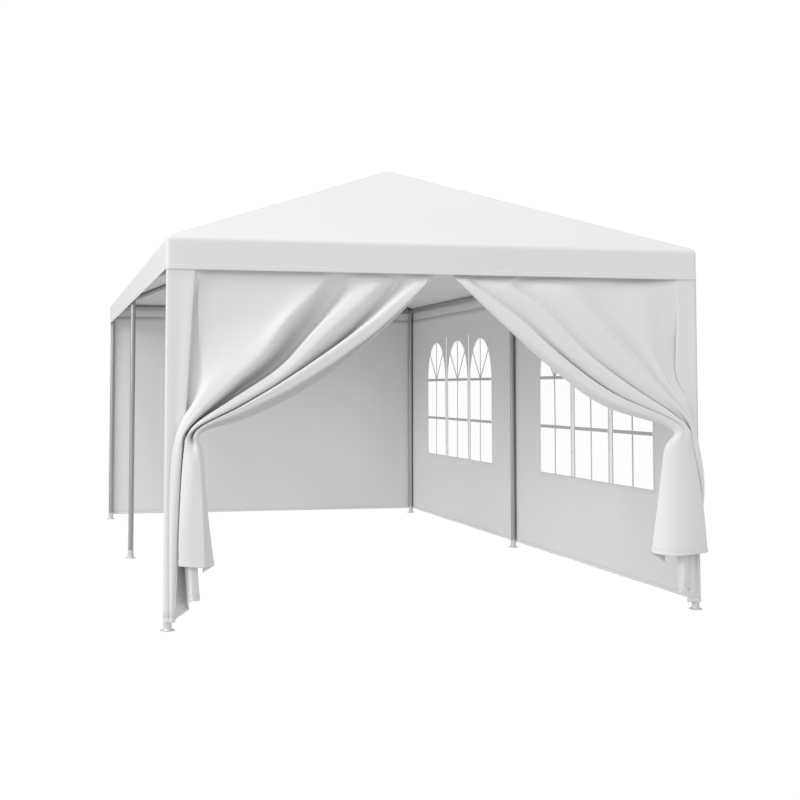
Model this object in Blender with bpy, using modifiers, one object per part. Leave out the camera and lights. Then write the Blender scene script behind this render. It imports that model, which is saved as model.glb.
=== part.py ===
"""Marquee tent: a hip-roofed party tent, 3 m wide and two 3 m bays deep.

A steel tube frame on six round feet carries a white cover. The front has two
curtains tied back to the corner posts, the right side has two walls with
arched windows, the back has a plain wall and the left side is open.
+Z is up, +Y points to the back and +X to the right. The origin is on the
ground under the middle of the tent.
"""

import math

import bmesh
import bpy
from mathutils import Matrix, Vector

# Plan: distances between post centres
BAY = 3.0
WIDTH = 3.0
HALF_WIDTH = WIDTH / 2
HALF_LENGTH = BAY

# Steel frame
TUBE_RADIUS = 0.019
SLEEVE_RADIUS = 0.021
SLEEVE_REACH = 0.11
SLEEVE_OVERRUN = 0.012
SLEEVE_STEP = 0.0004
TUBE_SIDES = 24
SLEEVE_SIDES = 16

# Feet
FLANGE_RADIUS = 0.038
FLANGE_THICKNESS = 0.006
NECK_TOP = 0.060
FOOT_STEPS = 24

# Cover
FABRIC = 0.0024
WALL_FABRIC = 0.002
OVERHANG = 0.026
ROOF_EDGE_HEIGHT = 2.056
RIDGE_HEIGHT = 2.659
RIDGE_HALF_LENGTH = 1.796
VALANCE_BOTTOM = 1.884
SEAM_INSET = 0.0012

# Walls
WALL_BOTTOM = 0.045
WALL_TOP = 1.950

# Windows: three arched lights in each right wall
LIGHT_PITCH = 0.63
LIGHT_WIDTH = 0.57
WINDOW_SILL = 0.632
ARCH_SPRING = 1.337
ARCH_TOP = 1.691
ARCH_STEPS = 12
FILM = 0.0015
FILM_LAP = 0.03

# Front curtains, for the right one; the left one mirrors it
DRAPE_DEPTH = 0.030
MEETING_EDGE = 0.004
DRAPE_PULL = (0.75, 1.05)
TIE_INNER = 1.345
TIE_HEIGHT = 1.045
SKIRT_INNER = 1.235
SKIRT_FLARE_HEIGHT = 0.33
SKIRT_BOTTOM = 0.10
DRAPE_STEPS = 10
WRAP_TOP_INNER = 1.372
WRAP_TIE_INNER = 1.414
WRAP_BOTTOM_INNER = 1.470
WRAP_RETURN = 0.045

# Clearance between touching pieces
GAP = 0.0003

# Worked-out values
HALF_COVER_WIDTH = HALF_WIDTH + OVERHANG
HALF_COVER_LENGTH = HALF_LENGTH + OVERHANG
ROOF_RISE = RIDGE_HEIGHT - ROOF_EDGE_HEIGHT
SIDE_RUN = HALF_COVER_WIDTH
END_RUN = HALF_COVER_LENGTH - RIDGE_HALF_LENGTH
SIDE_SLOPE = math.atan2(ROOF_RISE, SIDE_RUN)
END_SLOPE = math.atan2(ROOF_RISE, END_RUN)
COVER_STANDOFF = FABRIC + SLEEVE_RADIUS + GAP
EAVE_HEIGHT = (ROOF_EDGE_HEIGHT + OVERHANG * math.tan(SIDE_SLOPE)
               - COVER_STANDOFF / math.cos(SIDE_SLOPE))
RIDGE_TUBE_HEIGHT = RIDGE_HEIGHT - COVER_STANDOFF / math.cos(END_SLOPE)
WALL_INNER = SLEEVE_RADIUS + GAP
WALL_OUTER = WALL_INNER + WALL_FABRIC
VALANCE_TOP = ROOF_EDGE_HEIGHT - FABRIC * math.cos(SIDE_SLOPE) - GAP

DOWN = Vector((0, 0, -1))

STEEL = {"colour": (0.78, 0.79, 0.80), "roughness": 0.35, "metallic": 0.6}
ZINC = {"colour": (0.62, 0.63, 0.64), "roughness": 0.45, "metallic": 0.8}
COVER = {"colour": (0.90, 0.90, 0.89), "roughness": 0.6, "metallic": 0.0}
CLEAR_FILM = {"colour": (0.86, 0.88, 0.88), "roughness": 0.1, "metallic": 0.0}


def clear_scene():
    for old in list(bpy.data.objects):
        bpy.data.objects.remove(old, do_unlink=True)


def new_collection(name):
    group = bpy.data.collections.new(name)
    bpy.context.scene.collection.children.link(group)
    return group


def surface(name, finish):
    """A Principled BSDF material of one node's own."""
    material = bpy.data.materials.new(name + "_material")
    material.use_nodes = True
    shader = material.node_tree.nodes["Principled BSDF"]
    shader.inputs["Base Color"].default_value = (*finish["colour"], 1.0)
    shader.inputs["Roughness"].default_value = finish["roughness"]
    shader.inputs["Metallic"].default_value = finish["metallic"]
    return material


def add_object(name, data, group, finish=None):
    piece = bpy.data.objects.new(name, data)
    group.objects.link(piece)
    if finish:
        data.materials.append(surface(name, finish))
    return piece


def rod_mesh(name, start, end, radius, sides):
    """A capped round bar from start to end."""
    start = Vector(start)
    end = Vector(end)
    run = end - start
    turn = run.to_track_quat("Z", "Y").to_matrix().to_4x4()
    place = Matrix.Translation((start + end) / 2) @ turn
    mesh = bpy.data.meshes.new(name)
    shape = bmesh.new()
    bmesh.ops.create_cone(shape, cap_ends=True, segments=sides, radius1=radius,
                          radius2=radius, depth=run.length, matrix=place)
    shape.to_mesh(mesh)
    shape.free()
    mesh.shade_smooth()
    mesh.set_sharp_from_angle(angle=math.radians(40))
    return mesh


def tube(name, start, end, group):
    """A frame tube that stops short of the sleeves at both ends."""
    start = Vector(start)
    end = Vector(end)
    along = (end - start).normalized()
    cut = SLEEVE_REACH + GAP
    mesh = rod_mesh(name, start + along * cut, end - along * cut, TUBE_RADIUS, TUBE_SIDES)
    return add_object(name, mesh, group, STEEL)


def union(base, others, cutters):
    """Joins others into base and keeps them as hidden guides."""
    for other in others:
        cutters.objects.link(other)
        other.hide_render = True
        other.display_type = "WIRE"
        join = base.modifiers.new("join_" + other.name, "BOOLEAN")
        join.operation = "UNION"
        join.solver = "EXACT"
        join.object = other


def connector(name, centre, directions, group, cutters):
    """Sleeves welded in one joint; the upright one runs on past the middle as a cap.

    Each sleeve is a little thinner than the one before, so that no faces coincide.
    """
    centre = Vector(centre)
    meshes = []
    for number, direction in enumerate(directions):
        along = Vector(direction).normalized()
        overrun = SLEEVE_OVERRUN if direction == DOWN else 0.0
        radius = SLEEVE_RADIUS - SLEEVE_STEP * number
        meshes.append(rod_mesh(name + "_sleeve_" + str(number), centre - along * overrun,
                               centre + along * SLEEVE_REACH, radius, SLEEVE_SIDES))
    base = add_object(name, meshes[0], group, ZINC)
    guides = [bpy.data.objects.new(mesh.name, mesh) for mesh in meshes[1:]]
    union(base, guides, cutters)
    return base


def plate(name, outline, thickness, place, group, finish=None, holes=()):
    """A flat sheet: a filled 2D curve whose upper face lies in the placed XY plane."""
    curve = bpy.data.curves.new(name, "CURVE")
    curve.dimensions = "2D"
    curve.fill_mode = "BOTH"
    curve.extrude = thickness / 2
    for points in (outline, *holes):
        spline = curve.splines.new("POLY")
        spline.points.add(len(points) - 1)
        for point, (u, v) in zip(spline.points, points):
            point.co = (u, v, 0.0, 1.0)
        spline.use_cyclic_u = True
    sheet = add_object(name, curve, group, finish)
    sheet.matrix_world = place @ Matrix.Translation((0, 0, -thickness / 2))
    return sheet


def as_mesh(sheet, group):
    """The curve sheet as a welded mesh object that can be cut or joined."""
    bpy.context.view_layer.update()
    evaluated = sheet.evaluated_get(bpy.context.evaluated_depsgraph_get())
    mesh = bpy.data.meshes.new_from_object(evaluated)
    shape = bmesh.new()
    shape.from_mesh(mesh)
    bmesh.ops.remove_doubles(shape, verts=shape.verts, dist=0.00005)
    shape.to_mesh(mesh)
    shape.free()
    solid = bpy.data.objects.new(sheet.name + "_solid", mesh)
    solid.matrix_world = sheet.matrix_world
    group.objects.link(solid)
    name = sheet.name
    bpy.data.objects.remove(sheet, do_unlink=True)
    solid.name = name
    return solid


def facing(turn, distance):
    """Local X runs along a side and local Y up it; the face looks outward, turned about Z."""
    upright = Matrix.Rotation(math.radians(90), 4, "X")
    return Matrix.Rotation(turn, 4, "Z") @ Matrix.Translation((0, -distance, 0)) @ upright


def inset(points, distance):
    """A convex anticlockwise outline moved inward by one distance on every edge."""
    moved = []
    count = len(points)
    for index in range(count):
        before, here, after = (Vector(points[(index + step) % count]) for step in (-1, 0, 1))
        first = (here - before).normalized()
        second = (after - here).normalized()
        normal = Vector((-first.y, first.x))
        bend = first.angle_signed(second)
        slide = distance * math.tan(-bend / 2)
        moved.append(tuple(here + normal * distance - first * slide))
    return moved


def arch(centre):
    """One window light: straight sides under a half-elliptic head."""
    half = LIGHT_WIDTH / 2
    points = [(centre - half, WINDOW_SILL), (centre + half, WINDOW_SILL)]
    for step in range(ARCH_STEPS + 1):
        angle = math.pi * step / ARCH_STEPS
        points.append((centre + half * math.cos(angle),
                       ARCH_SPRING + (ARCH_TOP - ARCH_SPRING) * math.sin(angle)))
    return points


def posts_and_feet(group):
    for place, along in (("front", -HALF_LENGTH), ("mid", 0.0), ("back", HALF_LENGTH)):
        for side, across in (("left", -HALF_WIDTH), ("right", HALF_WIDTH)):
            name = place + "_" + side
            mesh = rod_mesh(name + "_post", (across, along, NECK_TOP + GAP),
                            (across, along, EAVE_HEIGHT - SLEEVE_REACH - GAP),
                            TUBE_RADIUS, TUBE_SIDES)
            add_object(name + "_post", mesh, group, STEEL)
            foot(name + "_foot", across, along, group)


def foot(name, across, along, group):
    """A turned foot: a round ground plate with a neck that takes the post."""
    profile = [(0, NECK_TOP), (SLEEVE_RADIUS, NECK_TOP), (SLEEVE_RADIUS, FLANGE_THICKNESS),
               (FLANGE_RADIUS, FLANGE_THICKNESS), (FLANGE_RADIUS, 0), (0, 0)]
    mesh = bpy.data.meshes.new(name)
    mesh.from_pydata([(radius, 0, height) for radius, height in profile],
                     [(step, step + 1) for step in range(len(profile) - 1)], [])
    piece = add_object(name, mesh, group, ZINC)
    piece.location = (across, along, 0)
    turn = piece.modifiers.new("turn", "SCREW")
    turn.steps = FOOT_STEPS
    turn.render_steps = FOOT_STEPS
    turn.use_merge_vertices = True
    turn.merge_threshold = 0.00005


def eaves(group):
    corner = {}
    for place, along in (("front", -1), ("mid", 0), ("back", 1)):
        for side, across in (("left", -1), ("right", 1)):
            corner[place, side] = (across * HALF_WIDTH, along * HALF_LENGTH, EAVE_HEIGHT)
    for place in ("front", "back"):
        tube(place + "_eave_tube", corner[place, "left"], corner[place, "right"], group)
    for side in ("left", "right"):
        for place in ("front", "back"):
            tube(side + "_" + place + "_eave_tube", corner[place, side], corner["mid", side], group)
    return corner


def rafters(corner, group):
    peak = {"front": (0, -RIDGE_HALF_LENGTH, RIDGE_TUBE_HEIGHT), "mid": (0, 0, RIDGE_TUBE_HEIGHT),
            "back": (0, RIDGE_HALF_LENGTH, RIDGE_TUBE_HEIGHT)}
    for (place, side), foot_point in corner.items():
        kind = "_rafter" if place == "mid" else "_hip_rafter"
        tube(place + "_" + side + kind, foot_point, peak[place], group)
    for place in ("front", "back"):
        tube(place + "_ridge_tube", peak[place], peak["mid"], group)
    return peak


def connectors(corner, peak, group, cutters):
    for (place, side), point in corner.items():
        inward = Vector((-1, 0, 0)) if side == "right" else Vector((1, 0, 0))
        directions = [DOWN]
        if place != "back":
            directions.append(Vector((0, 1, 0)))
        if place != "front":
            directions.append(Vector((0, -1, 0)))
        if place != "mid":
            directions.append(inward)
        directions.append(Vector(peak[place]) - Vector(point))
        connector(place + "_" + side + "_connector", point, directions, group, cutters)
    for place, point in peak.items():
        directions = [Vector(corner[place, side]) - Vector(point) for side in ("left", "right")]
        if place != "back":
            directions.append(Vector((0, 1, 0)))
        if place != "front":
            directions.append(Vector((0, -1, 0)))
        connector(place + "_ridge_connector", point, directions, group, cutters)


def roof(group):
    """Four flat cover panels that meet along the hips and the ridge."""
    ends = (HALF_COVER_WIDTH, HALF_COVER_LENGTH, 0.0, END_RUN, END_SLOPE)
    sides = (HALF_COVER_LENGTH, HALF_COVER_WIDTH, RIDGE_HALF_LENGTH, SIDE_RUN, SIDE_SLOPE)
    for name, quarter, (half_base, distance, half_top, run, slope) in (
            ("front", 0, ends), ("right", 1, sides), ("back", 2, ends), ("left", 3, sides)):
        length = run / math.cos(slope)
        outline = [(-half_base, 0), (half_base, 0)]
        outline += [(half_top, length), (-half_top, length)] if half_top else [(0, length)]
        place = (Matrix.Rotation(math.radians(90) * quarter, 4, "Z")
                 @ Matrix.Translation((0, -distance, ROOF_EDGE_HEIGHT))
                 @ Matrix.Rotation(slope, 4, "X"))
        plate("roof_" + name, inset(outline, SEAM_INSET), FABRIC, place, group, COVER)


def rectangle(left, right, bottom, top):
    return [(left, bottom), (right, bottom), (right, top), (left, top)]


def valances(group):
    end_half = HALF_COVER_WIDTH
    side_half = HALF_COVER_LENGTH - FABRIC - GAP
    for name, quarter, half, distance in (
            ("front", 0, end_half, HALF_COVER_LENGTH), ("right", 1, side_half, HALF_COVER_WIDTH),
            ("back", 2, end_half, HALF_COVER_LENGTH), ("left", 3, side_half, HALF_COVER_WIDTH)):
        outline = rectangle(-half, half, VALANCE_BOTTOM, VALANCE_TOP)
        plate("valance_" + name, outline, FABRIC, facing(math.radians(90) * quarter, distance),
              group, COVER)


def walls(group):
    """The back wall and the two right walls, hung on the outside of the posts."""
    back = HALF_WIDTH + WALL_OUTER
    plate("back_wall", rectangle(-back, back, WALL_BOTTOM, WALL_TOP), WALL_FABRIC,
          facing(math.radians(180), HALF_LENGTH + WALL_OUTER), group, COVER)
    outer_end = HALF_LENGTH + WALL_INNER - GAP
    for name, centre, low, high in (("front", -BAY / 2, -outer_end, -GAP),
                                    ("back", BAY / 2, GAP, outer_end)):
        lights = [centre + LIGHT_PITCH * step for step in (-1, 0, 1)]
        plate("right_" + name + "_wall", rectangle(low, high, WALL_BOTTOM, WALL_TOP), WALL_FABRIC,
              facing(math.radians(90), HALF_WIDTH + WALL_OUTER), group, COVER,
              holes=[arch(light) for light in lights])
        half_film = LIGHT_PITCH + LIGHT_WIDTH / 2 + FILM_LAP
        plate("right_" + name + "_window",
              rectangle(centre - half_film, centre + half_film, WINDOW_SILL - FILM_LAP,
                        ARCH_TOP + FILM_LAP), FILM,
              facing(math.radians(90), HALF_WIDTH + WALL_INNER - GAP), group, CLEAR_FILM)


def drape_edge():
    """The inner edge of a curtain, falling from the middle of the eave to the tie."""
    start = Vector((MEETING_EDGE, WALL_TOP))
    pull = Vector(DRAPE_PULL)
    end = Vector((TIE_INNER, TIE_HEIGHT))
    points = []
    for step in range(DRAPE_STEPS + 1):
        t = step / DRAPE_STEPS
        point = start * (1 - t) ** 2 + pull * (2 * t * (1 - t)) + end * t ** 2
        points.append(tuple(point))
    return points


def curtains(group, cutters):
    """Two gathered front curtains, each with a flat outer strip that wraps its corner post."""
    post_side = HALF_WIDTH - SLEEVE_RADIUS - GAP
    wrap_side = HALF_WIDTH + WALL_OUTER
    body = drape_edge() + [(SKIRT_INNER, SKIRT_FLARE_HEIGHT), (SKIRT_INNER, SKIRT_BOTTOM),
                           (post_side, SKIRT_BOTTOM), (post_side, WALL_TOP)]
    strip = [(WRAP_TOP_INNER, WALL_TOP), (WRAP_TIE_INNER, TIE_HEIGHT),
             (WRAP_BOTTOM_INNER, WALL_BOTTOM), (wrap_side, WALL_BOTTOM), (wrap_side, WALL_TOP)]
    front = HALF_LENGTH + WALL_OUTER
    for side, hand in (("left", -1), ("right", 1)):
        drape = plate(side + "_curtain", [(u * hand, v) for u, v in body], DRAPE_DEPTH,
                      facing(0, front - GAP), group)
        drape = as_mesh(drape, group)
        drape.data.materials.append(surface(side + "_curtain", COVER))
        wrap = plate(side + "_wrap", [(u * hand, v) for u, v in strip], WALL_FABRIC,
                     facing(0, front), cutters)
        pieces = [as_mesh(wrap, cutters)]
        if side == "left":
            pieces.append(wrap_return(wrap_side, cutters))
        for piece in pieces:
            cutters.objects.unlink(piece)
        union(drape, pieces, cutters)


def wrap_return(wrap_side, cutters):
    """The part of the left wrap that turns round the corner onto the open side."""
    front = HALF_LENGTH + WALL_OUTER
    outline = rectangle(front - WRAP_RETURN, front, WALL_BOTTOM, WALL_TOP)
    return as_mesh(plate("left_wrap_return", outline, WALL_FABRIC,
                         facing(math.radians(270), wrap_side), cutters), cutters)


def build():
    clear_scene()
    group = new_collection("marquee_tent")
    cutters = new_collection("cutters")
    posts_and_feet(group)
    corner = eaves(group)
    peak = rafters(corner, group)
    connectors(corner, peak, group, cutters)
    roof(group)
    valances(group)
    walls(group)
    curtains(group, cutters)


build()
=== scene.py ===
import math

import bmesh
import bpy
import numpy as np
from mathutils import Matrix, Vector


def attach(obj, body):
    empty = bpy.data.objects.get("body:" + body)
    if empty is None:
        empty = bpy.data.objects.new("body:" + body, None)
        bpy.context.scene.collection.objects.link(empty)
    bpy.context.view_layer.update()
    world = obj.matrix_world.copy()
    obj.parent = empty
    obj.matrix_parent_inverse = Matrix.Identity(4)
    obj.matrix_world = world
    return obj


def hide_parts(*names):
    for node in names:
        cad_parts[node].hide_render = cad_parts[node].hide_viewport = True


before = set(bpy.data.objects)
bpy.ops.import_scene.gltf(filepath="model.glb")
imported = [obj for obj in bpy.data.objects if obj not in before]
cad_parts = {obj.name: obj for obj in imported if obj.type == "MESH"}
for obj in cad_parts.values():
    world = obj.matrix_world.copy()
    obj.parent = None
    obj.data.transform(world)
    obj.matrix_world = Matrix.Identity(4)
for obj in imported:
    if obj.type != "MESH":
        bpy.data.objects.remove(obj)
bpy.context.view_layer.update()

# Steel frame: posts, eave tubes, rafters and ridge tubes of thin zinc-coated
# tube, 38 mm across. They are pushed into welded sleeves at every joint, so the
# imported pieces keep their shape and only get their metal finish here.
POST_LINE = 1.5
FRONT_LINE = -3.0
TUBE_GREY = (0.42, 0.42, 0.415)
SLEEVE_GREY = (0.40, 0.40, 0.40)
TUBE_METALLIC = 0.85
TUBE_ROUGHNESS = 0.34
SLEEVE_ROUGHNESS = 0.30
SHARP_ANGLE = math.radians(40)
SPANGLE_SHADE = (0.96, 1.03)
SPANGLE_ROUGHNESS = 0.05
TUBE_PATCHES = 45.0
SLEEVE_PATCHES = 70.0


def socket(group, name, kind, direction="INPUT", default=None):
    made = group.interface.new_socket(name=name, in_out=direction, socket_type=kind)
    if default is not None:
        made.default_value = default
    return made


def calculate(tree, operation, *values):
    """A math node; each value is a number or another node's socket."""
    node = tree.nodes.new("ShaderNodeMath")
    node.operation = operation
    for given, value in zip(node.inputs, values):
        if isinstance(value, bpy.types.NodeSocket):
            tree.links.new(value, given)
        else:
            given.default_value = value
    return node.outputs["Value"]


def spangle_group():
    """Soft cloudy mottling of a zinc coat: a colour and a roughness that vary."""
    group = bpy.data.node_groups.new("zinc_spangle", "ShaderNodeTree")
    socket(group, "Coat colour", "NodeSocketColor")
    socket(group, "Patch size", "NodeSocketFloat", default=60.0)
    socket(group, "Base roughness", "NodeSocketFloat", default=0.3)
    socket(group, "Colour", "NodeSocketColor", "OUTPUT")
    socket(group, "Roughness", "NodeSocketFloat", "OUTPUT")
    nodes = group.nodes
    links = group.links
    given = nodes.new("NodeGroupInput")
    result = nodes.new("NodeGroupOutput")
    place = nodes.new("ShaderNodeTexCoord")
    patches = nodes.new("ShaderNodeTexNoise")
    patches.inputs["Detail"].default_value = 4.0
    links.new(place.outputs["Object"], patches.inputs["Vector"])
    links.new(given.outputs["Patch size"], patches.inputs["Scale"])
    tint = nodes.new("ShaderNodeHueSaturation")
    links.new(given.outputs["Coat colour"], tint.inputs["Color"])
    shade = nodes.new("ShaderNodeMapRange")
    shade.inputs["To Min"].default_value, shade.inputs["To Max"].default_value = SPANGLE_SHADE
    links.new(patches.outputs["Fac"], shade.inputs["Value"])
    links.new(shade.outputs["Result"], tint.inputs["Value"])
    links.new(tint.outputs["Color"], result.inputs["Colour"])
    spread = calculate(group, "MULTIPLY_ADD", patches.outputs["Fac"], SPANGLE_ROUGHNESS,
                       given.outputs["Base roughness"])
    links.new(spread, result.inputs["Roughness"])
    return group


spangle = spangle_group()


def metal(name, colour, metallic, roughness, patch_size):
    material = bpy.data.materials.new(name)
    material.use_nodes = True
    nodes = material.node_tree.nodes
    shader = nodes["Principled BSDF"]
    shader.inputs["Metallic"].default_value = metallic
    coat = nodes.new("ShaderNodeGroup")
    coat.node_tree = spangle
    coat.inputs["Coat colour"].default_value = (*colour, 1.0)
    coat.inputs["Patch size"].default_value = patch_size
    coat.inputs["Base roughness"].default_value = roughness
    material.node_tree.links.new(coat.outputs["Colour"], shader.inputs["Base Color"])
    material.node_tree.links.new(coat.outputs["Roughness"], shader.inputs["Roughness"])
    return material


def finish_node(name, material):
    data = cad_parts[name].data
    data.materials.clear()
    data.materials.append(material)
    data.shade_smooth()
    data.set_sharp_from_angle(angle=SHARP_ANGLE)


tube_metal = metal("coated_tube", TUBE_GREY, TUBE_METALLIC, TUBE_ROUGHNESS, TUBE_PATCHES)
sleeve_metal = metal("welded_sleeve", SLEEVE_GREY, TUBE_METALLIC, SLEEVE_ROUGHNESS, SLEEVE_PATCHES)
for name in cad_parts:
    if name.endswith(("_tube", "_post", "_rafter")):
        finish_node(name, tube_metal)
    elif name.endswith("_connector"):
        finish_node(name, sleeve_metal)

# Feet: each post drops into a round base pressed from steel sheet and coated
# pale grey. It has a slightly dished flange that stands on the ground and a
# drawn neck with a rolled rim.
FOOT_GREY = (0.66, 0.66, 0.65)
FOOT_METALLIC = 0.3
FOOT_ROUGHNESS = 0.34
FOOT_PATCHES = 90.0
FOOT_TURNS = 64
FOOT_MERGE = 0.00005
FOOT_PROFILE = ((0.0, 0.0), (0.0340, 0.0), (0.0372, 0.0009), (0.0380, 0.0027), (0.0376, 0.0046),
                (0.0360, 0.0056), (0.0335, 0.0054), (0.0305, 0.0048), (0.0275, 0.0050),
                (0.0250, 0.0062), (0.0232, 0.0092), (0.0222, 0.0140), (0.0216, 0.0220),
                (0.0213, 0.0360), (0.0212, 0.0540), (0.0216, 0.0572), (0.0222, 0.0590),
                (0.0217, 0.0602), (0.0205, 0.0604), (0.0196, 0.0596), (0.0191, 0.0570),
                (0.0191, 0.0480), (0.0, 0.0480))


def make_foot(name, x, y, material):
    shape = bmesh.new()
    profile = [shape.verts.new((x + radius, y, height)) for radius, height in FOOT_PROFILE]
    edges = [shape.edges.new(pair) for pair in zip(profile, profile[1:])]
    bmesh.ops.spin(shape, geom=profile + edges, cent=(x, y, 0), axis=(0, 0, 1),
                   angle=2 * math.pi, steps=FOOT_TURNS)
    bmesh.ops.remove_doubles(shape, verts=shape.verts, dist=FOOT_MERGE)
    bmesh.ops.recalc_face_normals(shape, faces=shape.faces)
    mesh = bpy.data.meshes.new(name)
    shape.to_mesh(mesh)
    shape.free()
    foot = bpy.data.objects.new(name, mesh)
    bpy.context.scene.collection.objects.link(foot)
    mesh.materials.append(material)
    mesh.shade_smooth()
    return foot


foot_metal = metal("coated_foot", FOOT_GREY, FOOT_METALLIC, FOOT_ROUGHNESS, FOOT_PATCHES)
for row, y in (("front", FRONT_LINE), ("mid", 0.0), ("back", -FRONT_LINE)):
    for side, x in (("left", -POST_LINE), ("right", POST_LINE)):
        foot = make_foot(row + "_" + side + "_base", x, y, foot_metal)
        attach(foot, "root")
        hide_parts(row + "_" + side + "_foot")

# Cover: one white woven sheet, sewn from four roof panels with lapped seams at
# the hips, and a straight valance with a hem all round. It is stretched over the
# ridge, rafters and eave tubes, folds softly over the eaves and sags a little.
COVER_WHITE = (0.76, 0.76, 0.755)
COVER_HALF_WIDTH = 1.5275
COVER_HALF_LENGTH = 3.0275
RIDGE_HALF_LENGTH = 1.796
RIDGE_TOP = 2.6585
EAVE_TOP = 2.0575
VALANCE_BOTTOM = 1.884
EAVE_FOLD = 0.024
RIDGE_ROUND = 0.012
RIDGE_BLEND = 0.1
HIP_ROUND = 0.022
HIP_BLEND = 0.05
PANEL_SAG = 0.012
END_SAG_SHARE = 0.6
SHEET_THICKNESS = 0.0008
SHEET_ROUGHNESS = 0.55
SHEET_CLOUDS = 0.02
CLOUD_SCALE = 2.2
WEAVE_STRENGTH = 0.12
WEAVE_HEIGHT = 0.0004
WELD_DISTANCE = 0.00002
SIDE_STEPS = 96
END_STEPS = 52
CORNER_STEPS = 8
ROOF_RINGS = 34
FOLD_RINGS = 8
VALANCE_RINGS = 12
HEM_DEPTH = 0.024
HEM_LIFT = 0.0009
HEM_BEVEL = 0.001
HEM_BULGE = 0.0007
HEM_WIDTH = 2 * HEM_DEPTH + 0.0036
SEAM_START = 2
SEAM_LIFT = 0.0013
SEAM_WIDTH = 0.026
STITCH_INSET = 0.0045
STITCH_HALF_WIDTH = 0.0014
STITCH_SHARE = 0.72
THREAD_TONE = 0.72


def weave_group():
    """Fine woven tape under a smooth film: a height for bump, and faint cloudy tone."""
    group = bpy.data.node_groups.new("woven_sheet", "ShaderNodeTree")
    socket(group, "Sheet colour", "NodeSocketColor")
    socket(group, "Tapes per metre", "NodeSocketFloat", default=500.0)
    socket(group, "Cloudiness", "NodeSocketFloat", default=0.03)
    socket(group, "Colour", "NodeSocketColor", "OUTPUT")
    socket(group, "Height", "NodeSocketFloat", "OUTPUT")
    nodes = group.nodes
    links = group.links
    given = nodes.new("NodeGroupInput")
    result = nodes.new("NodeGroupOutput")
    place = nodes.new("ShaderNodeTexCoord")
    threads = []
    for direction in ("X", "Z"):
        tape = nodes.new("ShaderNodeTexWave")
        tape.wave_type = "BANDS"
        tape.bands_direction = direction
        tape.wave_profile = "SIN"
        links.new(place.outputs["UV"], tape.inputs["Vector"])
        links.new(given.outputs["Tapes per metre"], tape.inputs["Scale"])
        threads.append(tape.outputs["Fac"])
    links.new(calculate(group, "MULTIPLY", *threads), result.inputs["Height"])
    clouds = nodes.new("ShaderNodeTexNoise")
    clouds.inputs["Scale"].default_value = CLOUD_SCALE
    clouds.inputs["Detail"].default_value = 3.0
    links.new(place.outputs["Object"], clouds.inputs["Vector"])
    shade = nodes.new("ShaderNodeMapRange")
    links.new(clouds.outputs["Fac"], shade.inputs["Value"])
    links.new(calculate(group, "SUBTRACT", 1.0, given.outputs["Cloudiness"]), shade.inputs["To Min"])
    tint = nodes.new("ShaderNodeHueSaturation")
    links.new(given.outputs["Sheet colour"], tint.inputs["Color"])
    links.new(shade.outputs["Result"], tint.inputs["Value"])
    links.new(tint.outputs["Color"], result.inputs["Colour"])
    return group


weave = weave_group()


def woven(name, colour, roughness=SHEET_ROUGHNESS, cloudiness=SHEET_CLOUDS):
    material = bpy.data.materials.new(name)
    material.use_nodes = True
    nodes = material.node_tree.nodes
    links = material.node_tree.links
    shader = nodes["Principled BSDF"]
    shader.inputs["Roughness"].default_value = roughness
    sheet = nodes.new("ShaderNodeGroup")
    sheet.node_tree = weave
    sheet.inputs["Sheet colour"].default_value = (*colour, 1.0)
    sheet.inputs["Cloudiness"].default_value = cloudiness
    bump = nodes.new("ShaderNodeBump")
    bump.inputs["Strength"].default_value = WEAVE_STRENGTH
    bump.inputs["Distance"].default_value = WEAVE_HEIGHT
    links.new(sheet.outputs["Colour"], shader.inputs["Base Color"])
    links.new(sheet.outputs["Height"], bump.inputs["Height"])
    links.new(bump.outputs["Normal"], shader.inputs["Normal"])
    return material


def surface_object(name, rows, material, closed=False):
    """A quad sheet from a grid of points, rows by columns, with a UV map in metres."""
    rows = np.asarray(rows, float)
    count, width = rows.shape[:2]
    mesh = bpy.data.meshes.new(name)
    shape = bmesh.new()
    points = [[shape.verts.new(point) for point in row] for row in rows]
    across = np.zeros((count, width))
    across[:, 1:] = np.cumsum(np.linalg.norm(np.diff(rows, axis=1), axis=2), axis=1)
    down = np.zeros((count, width))
    down[1:] = np.cumsum(np.linalg.norm(np.diff(rows, axis=0), axis=2), axis=0)
    layer = shape.loops.layers.uv.new("UVMap")
    last = width if closed else width - 1
    for row in range(count - 1):
        for column in range(last):
            after = (column + 1) % width
            corners = ((row, column), (row + 1, column), (row + 1, after), (row, after))
            face = shape.faces.new([points[a][b] for a, b in corners])
            face.smooth = True
            for loop, (a, b) in zip(face.loops, corners):
                loop[layer].uv = (across[a, b], down[a, b])
    bmesh.ops.remove_doubles(shape, verts=shape.verts, dist=WELD_DISTANCE)
    shape.to_mesh(mesh)
    shape.free()
    piece = bpy.data.objects.new(name, mesh)
    bpy.context.scene.collection.objects.link(piece)
    mesh.materials.append(material)
    return piece


def thicken(piece, thickness):
    """Gives a sheet its thickness on the inside of its modelled face."""
    skin = piece.modifiers.new("thickness", "SOLIDIFY")
    skin.thickness = thickness
    skin.offset = -1.0
    return piece


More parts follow.
